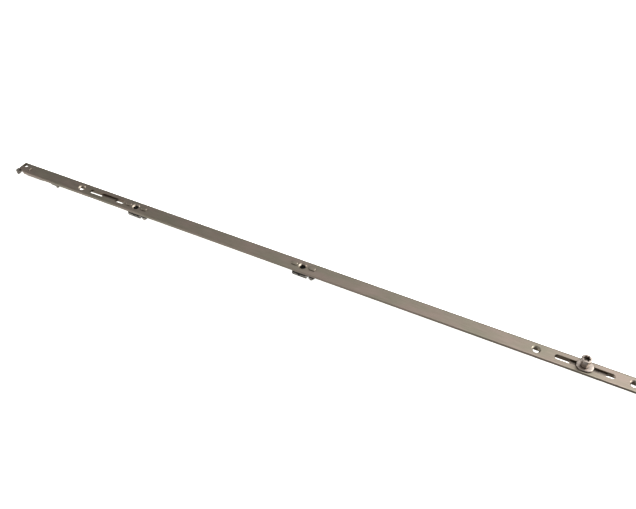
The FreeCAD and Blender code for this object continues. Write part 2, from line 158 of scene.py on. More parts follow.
@dataclass(frozen=True)
class Finish:
    """A finish: what it is made of and how its surface was worked."""

    name: str
    light_hex: str
    dark_hex: str
    metallic: float
    roughness: float
    worn_hex: str = "b8b0a6"
    wear_reach_mm: float = 0.35
    # Painted shade in recesses: its colour, the reach of the occlusion test and its largest share.
    recess_shade_hex: str = "1d1a16"
    recess_shade_reach_mm: float = 3.0
    recess_shade_share: float = 0.85
    # Agreement of the true and the rounded normal at which wear starts and is full, and its largest share.
    wear_range: Point2 = (0.97, 0.8)
    wear_share: float = 0.8
    wear_breakup: Point2 = (0.35, 0.6)
    wear_least: float = 0.25
    # Openness at which the painted recess shade starts and is full.
    recess_shade_range: Point2 = (0.92, 0.45)
    # Noise rarely leaves this range.
    noise_range: Point2 = (0.3, 0.7)

    def start(self) -> tuple[bpy.types.Material, bpy.types.NodeTree, bpy.types.Node, bpy.types.NodeSocket]:
        """Make an empty material with a shader.

        Returns:
            The material, its tree, its Principled shader and the object coordinates.
        """
        material = bpy.data.materials.new(self.name)
        material.use_nodes = True
        tree = material.node_tree
        tree.nodes.clear()
        values = {"Metallic": self.metallic, "Roughness": self.roughness}
        shader = add_node(tree, "ShaderNodeBsdfPrincipled", None, values)
        add_node(tree, "ShaderNodeOutputMaterial", None, {"Surface": shader.outputs["BSDF"]})
        place = add_node(tree, "ShaderNodeTexCoord")
        material.diffuse_color = linear(self.light_hex)
        return material, tree, shader, place.outputs["Object"]

    def pattern(
        self, tree: bpy.types.NodeTree, place: bpy.types.NodeSocket, spacing_mm: Point3, detail: float
    ) -> bpy.types.NodeSocket:
        """Noise with its own spacing along each axis.

        Args:
            tree: Node tree.
            place: Object coordinates in metres.
            spacing_mm: Size of one grain along X, Y and Z.
            detail: Noise detail.

        Returns:
            The noise value socket.
        """
        scale = tuple(1.0 / (size * MM) for size in spacing_mm)
        mapping = add_node(tree, "ShaderNodeMapping", None, {"Vector": place, "Scale": scale})
        values = {"Vector": mapping.outputs[0], "Scale": 1.0, "Detail": detail}
        return add_node(tree, "ShaderNodeTexNoise", None, values).outputs[0]

    def band(
        self, tree: bpy.types.NodeTree, value: bpy.types.NodeSocket, source: Point2, target: Point2
    ) -> bpy.types.NodeSocket:
        """Remap a value from one range to another, clamped.

        Args:
            tree: Node tree.
            value: Value to remap.
            source: Range of the value.
            target: Range it becomes.

        Returns:
            The remapped value.
        """
        values = {0: value, 1: source[0], 2: source[1], 3: target[0], 4: target[1]}
        return add_node(tree, "ShaderNodeMapRange", {"clamp": True}, values).outputs[0]

    def mix(
        self, tree: bpy.types.NodeTree, amount: bpy.types.NodeSocket | float, low: object, high: object
    ) -> bpy.types.NodeSocket:
        """Mix two colours.

        Args:
            tree: Node tree.
            amount: Share of the second colour.
            low: First colour.
            high: Second colour.

        Returns:
            The mixed colour.
        """
        node = add_node(tree, "ShaderNodeMix", {"data_type": "RGBA"}, {0: amount, 6: low, 7: high})
        return node.outputs[2]

    def bump(
        self, tree: bpy.types.NodeTree, height: bpy.types.NodeSocket, strength: float, depth_mm: float
    ) -> bpy.types.NodeSocket:
        """Bump from a height pattern.

        Args:
            tree: Node tree.
            height: Height pattern.
            strength: Share of the full depth.
            depth_mm: Full depth of the pattern.

        Returns:
            The bumped normal.
        """
        values = {"Strength": strength, "Distance": depth_mm * MM, "Height": height}
        return add_node(tree, "ShaderNodeBump", None, values).outputs[0]

    def worn_edges(
        self, tree: bpy.types.NodeTree, colour: bpy.types.NodeSocket, breakup: bpy.types.NodeSocket
    ) -> bpy.types.NodeSocket:
        """Rub the plating brighter along edges, unevenly.

        Args:
            tree: Node tree.
            colour: Colour away from the edges.
            breakup: Pattern that breaks the wear up.

        Returns:
            The colour with its edges rubbed.
        """
        reach = {"Radius": self.wear_reach_mm * MM}
        rounded = add_node(tree, "ShaderNodeBevel", {"samples": 4}, reach).outputs[0]
        true = add_node(tree, "ShaderNodeNewGeometry").outputs["Normal"]
        facing = add_node(tree, "ShaderNodeVectorMath", {"operation": "DOT_PRODUCT"}, {0: rounded, 1: true})
        edge = self.band(tree, facing.outputs["Value"], self.wear_range, (0.0, self.wear_share))
        rubbed = self.band(tree, breakup, self.wear_breakup, (self.wear_least, 1.0))
        amount = add_node(tree, "ShaderNodeMath", {"operation": "MULTIPLY"}, {0: edge, 1: rubbed}).outputs[0]
        return self.mix(tree, amount, colour, linear(self.worn_hex))

    def paint_recess_shade(self, tree: bpy.types.NodeTree, colour: bpy.types.NodeSocket) -> bpy.types.NodeSocket:
        """Paint shade into recesses and at the foot of raised shapes, by ambient occlusion.

        Args:
            tree: Node tree.
            colour: Colour of the open surface.

        Returns:
            The colour with painted shade in its recesses.
        """
        reach = {"Distance": self.recess_shade_reach_mm * MM}
        openness = add_node(tree, "ShaderNodeAmbientOcclusion", {"samples": 6}, reach).outputs["AO"]
        amount = self.band(tree, openness, self.recess_shade_range, (0.0, self.recess_shade_share))
        return self.mix(tree, amount, colour, linear(self.recess_shade_hex))

    def build(self) -> bpy.types.Material:
        """Make the material."""
        raise NotImplementedError


@dataclass(frozen=True)
class RolledPlatedSteel(Finish):
    """Cold-rolled steel strip, zinc plated and passivated, satin."""

    grain_mm: Point3 = (16.0, 0.4, 0.4)
    cloud_mm: Point3 = (34.0, 14.0, 14.0)
    speck_mm: Point3 = (1.3, 0.8, 0.8)
    rose_hex: str = "a6958c"
    olive_hex: str = "949180"
    cloud_share: float = 0.55
    cloud_range: Point2 = (0.36, 0.64)
    stain_range: Point2 = (0.62, 0.78)
    stain_share: float = 0.4
    # Distance behind the centre line from which painted shade darkens the far edge, and at which it is
    # darkest.
    edge_mm: Point2 = (6.4, 6.9)
    far_edge_shade_hex: str = "514d45"
    far_edge_shade_share: float = 0.74
    wall_shade_hex: str = "5c4a30"
    wall_shade_share: float = 0.6
    # Upward lean of a face at which it starts to count as a wall, and at which it fully does.
    wall_lean: Point2 = (0.5, 0.2)
    # Distance from the centre line inside which steep walls get painted shade, fading from the first to the
    # second.
    wall_shade_mm: Point2 = (7.3, 6.8)

    def build(self) -> bpy.types.Material:
        """Make the plated strip.

        Returns:
            Material with a lengthwise rolling grain that streaks the highlight, faint rose and olive clouds
            of the passivation, small stains, painted shade on hole and slot walls, along the far edge and in
            recesses.
        """
        material, tree, shader, place = self.start()
        # The mill's rolls leave lines about 0.05 mm apart; they are drawn at 0.4 mm so that they show.
        grain = self.pattern(tree, place, self.grain_mm, 3.0)
        cloud = self.pattern(tree, place, self.cloud_mm, 2.0)
        speck = self.pattern(tree, place, self.speck_mm, 4.0)
        clouds = self.band(tree, cloud, self.cloud_range, (0.0, 1.0))
        tint = self.mix(tree, clouds, linear(self.olive_hex), linear(self.rose_hex))
        streak = self.band(tree, grain, self.noise_range, (0.0, 1.0))
        base = self.mix(tree, streak, linear(self.dark_hex), linear(self.light_hex))
        body = self.mix(tree, self.cloud_share, base, tint)
        stain = self.band(tree, speck, self.stain_range, (0.0, self.stain_share))
        stained = self.mix(tree, stain, body, linear(self.dark_hex))
        across = add_node(tree, "ShaderNodeSeparateXYZ", None, {0: place}).outputs[1]
        # Painted shade along the far edge of the strip.
        far_edge_shade_range = (self.edge_mm[0] * MM, self.edge_mm[1] * MM)
        edge = self.band(tree, across, far_edge_shade_range, (0.0, self.far_edge_shade_share))
        far_edge_shaded = self.mix(tree, edge, stained, linear(self.far_edge_shade_hex))
        # Painted shade, tinted brown, on the walls of holes and slots.
        walls_shaded = self._paint_wall_shade(tree, across, self.worn_edges(tree, far_edge_shaded, speck))
        tree.links.new(self.paint_recess_shade(tree, walls_shaded), shader.inputs["Base Color"])
        spread = (self.roughness - 0.05, self.roughness + 0.09)
        tree.links.new(self.band(tree, grain, self.noise_range, spread), shader.inputs["Roughness"])
        tree.links.new(self.bump(tree, grain, 0.35, 0.02), shader.inputs["Normal"])
        return material

    def _paint_wall_shade(
        self, tree: bpy.types.NodeTree, across: bpy.types.NodeSocket, colour: bpy.types.NodeSocket
    ) -> bpy.types.NodeSocket:
        """Paint brownish shade onto the walls of punched holes and slots.

        Args:
            tree: Node tree.
            across: Distance from the centre line.
            colour: Colour of the rolled surface.

        Returns:
            The colour with painted shade on its walls.
        """
        facing = add_node(tree, "ShaderNodeNewGeometry").outputs["Normal"]
        up = add_node(tree, "ShaderNodeSeparateXYZ", None, {0: facing}).outputs[2]
        steep = add_node(tree, "ShaderNodeMath", {"operation": "ABSOLUTE"}, {0: up}).outputs[0]
        wall = self.band(tree, steep, self.wall_lean, (0.0, self.wall_shade_share))
        side = add_node(tree, "ShaderNodeMath", {"operation": "ABSOLUTE"}, {0: across}).outputs[0]
        wall_shade_range = (self.wall_shade_mm[0] * MM, self.wall_shade_mm[1] * MM)
        inside = self.band(tree, side, wall_shade_range, (0.0, 1.0))
        amount = add_node(tree, "ShaderNodeMath", {"operation": "MULTIPLY"}, {0: wall, 1: inside}).outputs[0]
        return self.mix(tree, amount, colour, linear(self.wall_shade_hex))


@dataclass(frozen=True)
class StampedSteel(Finish):
    """Stamped steel with a dark tumbled plating."""

    grain_mm: Point3 = (0.9, 0.7, 0.7)
    wear_mm: Point3 = (5.0, 3.0, 3.0)
    rubbed_range: Point2 = (0.5, 0.72)
    polished_range: Point2 = (0.35, 0.7)

    def build(self) -> bpy.types.Material:
        """Make the tumbled plating.

        Returns:
            Material with tumbling pits under a millimetre wide, lighter rubbed patches and bright edges.
        """
        material, tree, shader, place = self.start()
        grain = self.pattern(tree, place, self.grain_mm, 5.0)
        wear = self.pattern(tree, place, self.wear_mm, 3.0)
        rubbed = self.band(tree, wear, self.rubbed_range, (0.0, 1.0))
        colour = self.mix(tree, rubbed, linear(self.dark_hex), linear(self.light_hex))
        tree.links.new(self.worn_edges(tree, colour, grain), shader.inputs["Base Color"])
        spread = (self.roughness + 0.1, self.roughness - 0.1)
        tree.links.new(self.band(tree, wear, self.polished_range, spread), shader.inputs["Roughness"])
        tree.links.new(self.bump(tree, grain, 0.4, 0.04), shader.inputs["Normal"])
        return material


@dataclass(frozen=True)
class DieCastZinc(Finish):
    """Pressure die-cast zinc, left as cast and darkened."""

    skin_mm: Point3 = (1.6, 1.6, 1.6)
    flow_mm: Point3 = (7.0, 4.0, 3.0)
    flow_range: Point2 = (0.42, 0.62)

    def build(self) -> bpy.types.Material:
        """Make the as-cast skin.

        Returns:
            Material with the mottled flow marks of a cast skin, a slightly pebbled surface and rubbed edges.
        """
        material, tree, shader, place = self.start()
        skin = self.pattern(tree, place, self.skin_mm, 6.0)
        flow = self.pattern(tree, place, self.flow_mm, 4.0)
        marks = self.band(tree, flow, self.flow_range, (0.0, 1.0))
        colour = self.mix(tree, marks, linear(self.dark_hex), linear(self.light_hex))
        worn = self.worn_edges(tree, colour, skin)
        # Painted shade darkens the recesses of the block.
        tree.links.new(self.paint_recess_shade(tree, worn), shader.inputs["Base Color"])
        spread = (self.roughness + 0.08, self.roughness - 0.08)
        tree.links.new(self.band(tree, skin, self.noise_range, spread), shader.inputs["Roughness"])
        tree.links.new(self.bump(tree, skin, 0.5, 0.05), shader.inputs["Normal"])
        return material


@dataclass(frozen=True)
class MouldedNylon(Finish):
    """Black glass-filled nylon, injection moulded."""

    fibre_mm: Point3 = (1.2, 0.3, 0.3)
    fibre_range: Point2 = (0.35, 0.75)

    def build(self) -> bpy.types.Material:
        """Make the moulded nylon.

        Returns:
            Material with a dull sheen broken by short fibres that lie along the flow.
        """
        material, tree, shader, place = self.start()
        fibre = self.pattern(tree, place, self.fibre_mm, 4.0)
        fibres = self.band(tree, fibre, self.fibre_range, (0.0, 1.0))
        colour = self.mix(tree, fibres, linear(self.dark_hex), linear(self.light_hex))
        tree.links.new(colour, shader.inputs["Base Color"])
        spread = (self.roughness - 0.08, self.roughness + 0.1)
        tree.links.new(self.band(tree, fibre, self.noise_range, spread), shader.inputs["Roughness"])
        tree.links.new(self.bump(tree, fibre, 0.25, 0.02), shader.inputs["Normal"])
        return material


@dataclass(frozen=True)
class TurnedSteel(Finish):
    """Turned and plated steel with fine tool lines."""

    # X of the axis that the tool lines run round.
    axis: float = 0.0
    line_mm: float = 0.22
    stain_mm: Point3 = (2.4, 2.4, 2.4)
    patch_range: Point2 = (0.4, 0.68)

    def build(self) -> bpy.types.Material:
        """Make the turned steel.

        Returns:
            Material with rings left by the tool, cloudy plating and edges rubbed bright.
        """
        material, tree, shader, place = self.start()
        shift = (-self.axis, 0.0, 0.0)
        moved = add_node(tree, "ShaderNodeMapping", None, {"Vector": place, "Location": shift}).outputs[0]
        # The tool feed is about 0.1 mm a turn; the rings are drawn 0.22 mm apart so that they show.
        axes = add_node(tree, "ShaderNodeSeparateXYZ", None, {0: moved}).outputs
        flat = add_node(tree, "ShaderNodeCombineXYZ", None, {0: axes[0], 1: axes[1]}).outputs[0]
        reach = add_node(tree, "ShaderNodeVectorMath", {"operation": "LENGTH"}, {0: flat}).outputs["Value"]
        total = add_node(tree, "ShaderNodeMath", {"operation": "ADD"}, {0: reach, 1: axes[2]}).outputs[0]
        turns = 2 * math.pi / (self.line_mm * MM)
        phase = add_node(tree, "ShaderNodeMath", {"operation": "MULTIPLY"}, {0: total, 1: turns}).outputs[0]
        rings = add_node(tree, "ShaderNodeMath", {"operation": "SINE"}, {0: phase}).outputs[0]
        stain = self.pattern(tree, place, self.stain_mm, 3.0)
        patch = self.band(tree, stain, self.patch_range, (0.0, 1.0))
        colour = self.mix(tree, patch, linear(self.light_hex), linear(self.dark_hex))
        worn = self.worn_edges(tree, colour, stain)
        # Painted shade darkens the recesses of the turned part.
        tree.links.new(self.paint_recess_shade(tree, worn), shader.inputs["Base Color"])
        spread = (self.roughness - 0.06, self.roughness + 0.08)
        tree.links.new(self.band(tree, stain, self.noise_range, spread), shader.inputs["Roughness"])
        tree.links.new(self.bump(tree, rings, 0.2, 0.01), shader.inputs["Normal"])
        return material


@dataclass(frozen=True)
class LitPaper(Finish):
    """White background paper, evenly lit."""

    fibre_mm: Point3 = (3.0, 3.0, 3.0)
    glow_hex: str = "fefefc"
    glow: float = 1.0

    def build(self) -> bpy.types.Material:
        """Make the paper, with a barely visible tooth."""
        material, tree, shader, place = self.start()
        fibre = self.pattern(tree, place, self.fibre_mm, 4.0)
        colour = self.mix(tree, fibre, linear(self.dark_hex), linear(self.light_hex))
        tree.links.new(colour, shader.inputs["Base Color"])
        tree.links.new(self.bump(tree, fibre, 0.1, 0.05), shader.inputs["Normal"])
        shader.inputs["Emission Color"].default_value = linear(self.glow_hex)
        shader.inputs["Emission Strength"].default_value = self.glow
        return material


def cam_axis() -> float:
    """X of the axis that the cam turns on, from its stud."""
    low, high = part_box("cam_stud")
    return (low.x + high.x) / 2


@dataclass
class FinishShelf:
    """All finishes of the rail, made once and shared."""

    made: dict[Slot, bpy.types.Material] = field(default_factory=dict)

    def recipes(self) -> dict[Slot, Finish]:
        """Finish for each material slot.

        Returns:
            A finish by slot.
        """
        axis = cam_axis()
        return {
            # Bright passivated zinc on steel strip: a warm grey satin with a long soft highlight.
            Slot.FACE: RolledPlatedSteel("plated_rolled_steel_face", "a89e93", "8a8177", 1.0, 0.34),
            # The rod is plated like the face, but greyer and duller, with less painted recess shade and no
            # painted shade on its far edge.
            Slot.ROD: RolledPlatedSteel(
                "plated_rolled_steel_rod", "aeaaa2", "8d8982", 1.0, 0.42, far_edge_shade_share=0.0, recess_shade_share=0.3
            ),
            # As-cast zinc is mottled and light grey where it is rubbed; its recesses get painted shade.
            Slot.BLOCK: DieCastZinc("as_cast_zinc", "cac6be", "7a766f", 0.85, 0.42, worn_hex="c4beb5"),
            # Glass-filled nylon stays black, with a dull sheen.
            Slot.NYLON: MouldedNylon("moulded_black_nylon", "26241f", "12110f", 0.0, 0.5),
            # Turned parts keep fine rings and a brighter plating.
            Slot.FASTENER: TurnedSteel("turned_plated_steel", "9c958c", "77716a", 1.0, 0.3, axis=axis),
            # Stamped parts are tumbled, so their plating is dark and rubbed bright in places.
            Slot.CLAW: StampedSteel(
                "tumbled_stamped_steel", "b0aaa1", "827d76", 0.9, 0.42, worn_hex="c0b9ae"
            ),
            # The cam is plated like the face, but smoother and a little lighter.
            Slot.CAM: TurnedSteel(
                "polished_plated_cam_steel", "bbb0a8", "9f958e", 1.0, 0.28, recess_shade_share=0.25, axis=axis
            ),
        }

    def stock(self) -> None:
        """Make every material."""
        for slot, recipe in self.recipes().items():
            self.made[slot] = recipe.build()
            LOG.info("finish %s", recipe.name)

    def __getitem__(self, slot: Slot) -> bpy.types.Material:
        """Material of a slot."""
        return self.made[slot]


def rounded_outline(corners: Sequence[Point2], reach: float, steps: int = 4) -> list[Point2]:
    """Round every corner of a closed outline.

    Args:
        corners: Corner points in order.
        reach: Distance from each corner at which its curve starts.
        steps: Parts each curve is divided into.

    Returns:
        Points of the rounded outline.
    """
    points: list[Point2] = []
    for index, corner in enumerate(corners):
        middle = Vector(corner)
        ends = []
        for other in (corners[index - 1], corners[(index + 1) % len(corners)]):
            edge = Vector(other) - middle
            ends.append(middle + edge * min(reach / edge.length, LONGEST_CURVE_SHARE))
        for step in range(steps + 1):
            share = step / steps
            first = ends[0].lerp(middle, share)
            second = middle.lerp(ends[1], share)
            points.append(tuple(first.lerp(second, share)))
    return points


def oval(half_length: float, half_width: float, steps: int = 24) -> list[Point2]:
    """Round-ended outline along X about the origin.

    Args:
        half_length: Half the whole length.
        half_width: Half the width, which is also the radius of the ends.
        steps: Parts each end is divided into.

    Returns:
        Points of the outline.
    """
    points: list[Point2] = []
    run = max(half_length - half_width, 0.0)
    for side, start in ((1, -0.5), (-1, 0.5)):
        for step in range(steps + 1):
            angle = math.pi * (start + step / steps)
            points.append((side * run + half_width * math.cos(angle), half_width * math.sin(angle)))
    return points


def star(radius: float, swing: float, lobes: int, steps: int = 72) -> list[Point2]:
    """Soft star outline about the origin.

    Args:
        radius: Mean radius.
        swing: How far lobes stand out and in.
        lobes: Number of lobes.
        steps: Points round the outline.

    Returns:
        Points of the outline.
    """
    points: list[Point2] = []
    for step in range(steps):
        angle = 2 * math.pi * step / steps
        reach = radius + swing * math.cos(lobes * angle)
        points.append((reach * math.cos(angle), reach * math.sin(angle)))
    return points


def upright(outline: Sequence[Point2], x: float, y: float, z: float, scale: float = 1.0) -> list[Point3]:
    """Lay an outline in millimetres flat at a height.

    Args:
        outline: Outline in millimetres about its own middle.
        x: X of the middle in metres.
        y: Y of the middle in metres.
        z: Height in metres.
        scale: Size factor.

    Returns:
        Ring of points in metres.
    """
    return [(x + px * scale * MM, y + py * scale * MM, z) for px, py in outline]


def loft(name: str, rings: Sequence[Sequence[Point3]]) -> bpy.types.Object:
    """Closed skin over rings that have the same number of points.

    Args:
        name: Piece name.
        rings: Rings in metres, from one end to the other.

    Returns:
        The piece, linked to the scene.
    """
    shell = bmesh.new()
    rows = [[shell.verts.new(point) for point in ring] for ring in rings]
    count = len(rows[0])
    for low, high in zip(rows, rows[1:]):
        for index in range(count):
            after = (index + 1) % count
            shell.faces.new((low[index], low[after], high[after], high[index]))
    shell.faces.new(rows[0][::-1])
    shell.faces.new(rows[-1])
    bmesh.ops.remove_doubles(shell, verts=shell.verts, dist=WELD_DISTANCE)
    bmesh.ops.recalc_face_normals(shell, faces=shell.faces)
    mesh = bpy.data.meshes.new(name)
    shell.to_mesh(mesh)
    shell.free()
    piece = bpy.data.objects.new(name, mesh)
    bpy.context.collection.objects.link(piece)
    return piece


def plate(name: str, outline: Sequence[Point2], low: float, high: float) -> bpy.types.Object:
    """Upright prism from an outline in metres.

    Args:
        name: Piece name.
        outline: Plan points in metres.
        low: Lower height.
        high: Upper height.

    Returns:
        The piece.
    """
    return loft(name, [[(x, y, z) for x, y in outline] for z in (low, high)])


def slab(name: str, outline: Sequence[Point2], near: float, far: float) -> bpy.types.Object:
    """Prism across the rail from an outline in the X-Z plane, in metres.

    Args:
        name: Piece name.
        outline: Points as X and Z, in metres.
        near: Nearest Y.
        far: Farthest Y.

    Returns:
        The piece.
    """
    return loft(name, [[(x, y, z) for x, z in outline] for y in (near, far)])


def drill(piece: bpy.types.Object, x: float, radius: float, low: float, high: float) -> None:
    """Drill an upright hole on the centre line of the rail.

    Args:
        piece: Piece that is drilled.
        x: X of the hole.
        radius: Radius in metres.
        low: Lower end.
        high: Upper end.
    """
    angles = [2 * math.pi * side / HOLE_SIDES for side in range(HOLE_SIDES)]
    outline = [(x + radius * math.cos(angle), radius * math.sin(angle)) for angle in angles]
    carve(piece, plate("drill", outline, low, high))


def bake(piece: bpy.types.Object) -> None:
    """Turn a piece's modifiers into mesh."""
    graph = bpy.context.evaluated_depsgraph_get()
    mesh = bpy.data.meshes.new_from_object(piece.evaluated_get(graph), depsgraph=graph)
    piece.modifiers.clear()
    old = piece.data
    piece.data = mesh
    bpy.data.meshes.remove(old)


def carve(piece: bpy.types.Object, tool: bpy.types.Object, operation: str = "DIFFERENCE") -> None:
    """Cut a tool out of a piece, or join it on.

    Args:
        piece: Piece that is changed.
        tool: Solid that is used up.
        operation: DIFFERENCE or UNION.
    """
    cut = piece.modifiers.new("carve", "BOOLEAN")
    cut.operation = operation
    cut.object = tool
    cut.solver = "EXACT"
    bake(piece)
    mesh = tool.data
    bpy.data.objects.remove(tool)
    bpy.data.meshes.remove(mesh)


def shade(piece: bpy.types.Object, sharp_angle: float) -> None:
    """Shade a piece smooth, apart from its sharp edges.

    Args:
        piece: Piece that is shaded.
        sharp_angle: Smallest angle between faces, in degrees, that stays sharp.
    """
    for polygon in piece.data.polygons:
        polygon.use_smooth = True
    piece.data.set_sharp_from_angle(angle=math.radians(sharp_angle))


def round_edges(piece: bpy.types.Object, width_mm: float, segments: int = 3) -> None:
    """Round the hard edges of a piece and shade it smooth between them.

    Args:
        piece: Piece that is changed.
        width_mm: Width of the rounding.
        segments: Parts of the rounding.
    """
    tidy = bmesh.new()
    tidy.from_mesh(piece.data)
    bmesh.ops.remove_doubles(tidy, verts=tidy.verts, dist=WELD_DISTANCE)
    limit = math.radians(FLAT_ANGLE)
    bmesh.ops.dissolve_limit(tidy, angle_limit=limit, verts=tidy.verts, edges=tidy.edges)
    tidy.to_mesh(piece.data)
    tidy.free()
    bevel = piece.modifiers.new("rounding", "BEVEL")
    bevel.width = width_mm * MM
    bevel.segments = segments
    bevel.limit_method = "ANGLE"
    bevel.angle_limit = math.radians(EDGE_ANGLE)
    bevel.use_clamp_overlap = True
    bake(piece)
    shade(piece, SHARP_ANGLE)


@dataclass
class SubAssembly:
    """Pieces of one sub-assembly, finished from the shared shelf."""

    shelf: FinishShelf

    def adopt(self, piece: bpy.types.Object, node: str, body: Body, slot: Slot) -> None:
        """Dress a finished piece and let it stand for a CAD node.

        Args:
            piece: Finished mesh piece.
            node: CAD node it stands for.
            body: Body it rides on.
            slot: Material slot it belongs to.
        """
        piece.data.materials.clear()
        piece.data.materials.append(self.shelf[slot])
        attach(piece, body.value)
        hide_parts(node)
        LOG.info("built %s for %s", piece.name, node)

    def dress(self, node_name: str, slot: Slot, edge_mm: float) -> None:
        """Give a CAD node its finish and softly broken edges.

        Args:
            node_name: Node name.
            slot: Material slot of the finish.
            edge_mm: Width of the broken edge.
        """
        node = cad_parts[node_name]
        node.data.materials.clear()
        node.data.materials.append(self.shelf[slot])
        weld = node.modifiers.new("weld", "WELD")
        weld.merge_threshold = WELD_DISTANCE
        bevel = node.modifiers.new("broken_edge", "BEVEL")
        bevel.width = edge_mm * MM
        bevel.segments = CAD_EDGE_SEGMENTS
        bevel.limit_method = "ANGLE"
        bevel.angle_limit = math.radians(BROKEN_EDGE_ANGLE)
        LOG.info("dressed %s", node_name)


@dataclass
class Strip(SubAssembly):
    """Faceplate and the drive rod that slides behind it."""

    face_edge_mm: float = 0.1
    rod_edge_mm: float = 0.15

    def build(self) -> None:
        """Dress both strips."""
        self.dress("faceplate", Slot.FACE, self.face_edge_mm)
        self.dress("drive_rod", Slot.ROD, self.rod_edge_mm)


@dataclass
class GuideStation(SubAssembly):
    """Guide block, nylon glide, screw sleeve and two rivets round one screw."""

    side: str = "middle"
    left_end_mm: float = -9.5
    profile_mm: tuple[Point2, ...] = (
        (-9.2, -5.8),
        (-9.5, -8.8),
        (-8.6, -9.6),
        (6.6, -9.8),
        (7.4, -8.9),
        (7.4, -6.5),
        (9.5, -6.5),
        (9.5, -8.4),
        (11.8, -10.0),
        (12.8, -9.9),
        (16.2, -6.4),
        (16.2, -5.8),
    )
    half_width_mm: float = 6.1
    corner_mm: float = 0.7
    sleeve_bore_mm: float = 2.3
    shank_mm: float = 1.5
    # Heights of the foot of a rivet and of the neck under its head.
    shank_z_mm: Point2 = (-7.2, -0.05)
    rivet_offsets_mm: Point2 = (-8.0, 10.2)
    # Half length, half width and Y of each rivet head.
    left_head_mm: Point3 = (3.6, 2.5, 0.3)
    right_head_mm: Point3 = (3.9, 2.5, 0.6)
    # Scale and share of the height of each ring of a head.
    crown: tuple[Point2, ...] = ((0.98, 0.0), (1.0, 0.3), (0.98, 0.66), (0.93, 0.86), (0.8, 0.96), (0.5, 1.0))
    # Left, right, lower and upper limit of each side recess.
    window_mm: tuple[tuple[float, float, float, float], ...] = (
        (-8.6, 6.2, -7.0, -5.6),
        (-2.2, -0.6, -8.9, -6.6),
        (8.6, 15.0, -6.8, -5.6),
    )
    window_depth_mm: float = 1.2
    window_corner_mm: float = 0.35
    core_mm: tuple[tuple[float, float], ...] = ((-7.4, -3.0), (3.0, 5.6))
    core_half_width_mm: float = 3.6
    core_depth_mm: float = 1.3
    core_corner_mm: float = 0.6
    edge_mm: float = 0.28
    glide_edge_mm: float = 0.12
    sleeve_edge_mm: float = 0.05

    def build(self) -> None:
        """Build the block and rivets and dress the glide and sleeve."""
        self.adopt(self._block(), "guide_block_" + self.side, Body.RAIL, Slot.BLOCK)
        self.adopt(self._rivets(), "block_rivets_" + self.side, Body.RAIL, Slot.FACE)
        self.dress("rod_glide_" + self.side, Slot.NYLON, self.glide_edge_mm)
        self.dress("screw_sleeve_" + self.side, Slot.NYLON, self.sleeve_edge_mm)

    def _middle(self) -> tuple[float, float]:
        """X of the block's middle point and of its screw."""
        block_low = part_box("guide_block_" + self.side)[0]
        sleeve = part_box("screw_sleeve_" + self.side)
        return block_low.x - self.left_end_mm * MM, (sleeve[0].x + sleeve[1].x) / 2

    def _block(self) -> bpy.types.Object:
        """Die-cast block with rounded edges, side windows and cored pockets below.

        Returns:
            The block.
        """
        x, screw_x = self._middle()
        outline = [(x + px * MM, pz * MM) for px, pz in rounded_outline(self.profile_mm, self.corner_mm)]
        half = self.half_width_mm * MM
        block = slab("zinc_block_" + self.side, outline, -half, half)
        bottom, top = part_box("guide_block_" + self.side)
        above, below = top.z + CUT_OVERRUN, bottom.z - CUT_OVERRUN
        drill(block, screw_x, self.sleeve_bore_mm * MM, below, above)
        for offset in self.rivet_offsets_mm:
            drill(block, x + offset * MM, self.shank_mm * MM, self.shank_z_mm[0] * MM, above)
        for low, high, floor, roof in self.window_mm:
            corners = ((low, floor), (high, floor), (high, roof), (low, roof))
            rounded = rounded_outline(corners, self.window_corner_mm, 2)
            window = [(x + px * MM, pz * MM) for px, pz in rounded]
            inner, outer = half - self.window_depth_mm * MM, half + CUT_OVERRUN
            carve(block, slab("window", window, -outer, -inner))
            carve(block, slab("window", window, inner, outer))
        for low, high in self.core_mm:
            wide = self.core_half_width_mm
            corners = ((low, -wide), (high, -wide), (high, wide), (low, wide))
            rounded = rounded_outline(corners, self.core_corner_mm, 3)
            core = [(x + px * MM, py * MM) for px, py in rounded]
            carve(block, plate("core", core, below, bottom.z + self.core_depth_mm * MM))
        round_edges(block, self.edge_mm, 2)
        return block

    def _rivets(self) -> bpy.types.Object:
        """Two rivets with crowned oval heads.

        Returns:
            Both rivets as one piece.
        """
        name = "block_rivets_" + self.side
        low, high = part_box(name)
        x = self._middle()[0]
        rings_left = self._rivet_rings(x + self.rivet_offsets_mm[0] * MM, low.x, high.z, left=True)
        rings_right = self._rivet_rings(x + self.rivet_offsets_mm[1] * MM, high.x, high.z, left=False)
        piece = loft("oval_rivets_" + self.side, rings_left)
        other = loft("oval_rivet_right", rings_right)
        both = bmesh.new()
        both.from_mesh(piece.data)
        both.from_mesh(other.data)
        both.to_mesh(piece.data)
        both.free()
        mesh = other.data
        bpy.data.objects.remove(other)
        bpy.data.meshes.remove(mesh)
        shade(piece, RIVET_SHARP_ANGLE)
        return piece

    def _rivet_rings(self, shank_x: float, end_x: float, top: float, left: bool) -> list[list[Point3]]:
        """Rings of one rivet, from its foot to the middle of its crown.

        Args:
            shank_x: X of the shank.
            end_x: X of the outer end of the head.
            top: Height of the crown.
            left: True for the rivet left of the screw.

        Returns:
            Rings with the same number of points.
        """
        half_length, half_width, y = self.left_head_mm if left else self.right_head_mm
        head_x = end_x + (half_length if left else -half_length) * MM
        shank = oval(self.shank_mm, self.shank_mm)
        head = oval(half_length, half_width)
        rings = [upright(shank, shank_x, 0.0, z * MM) for z in self.shank_z_mm]
        rings += [upright(head, head_x, y * MM, share * top, scale) for scale, share in self.crown]
        return rings


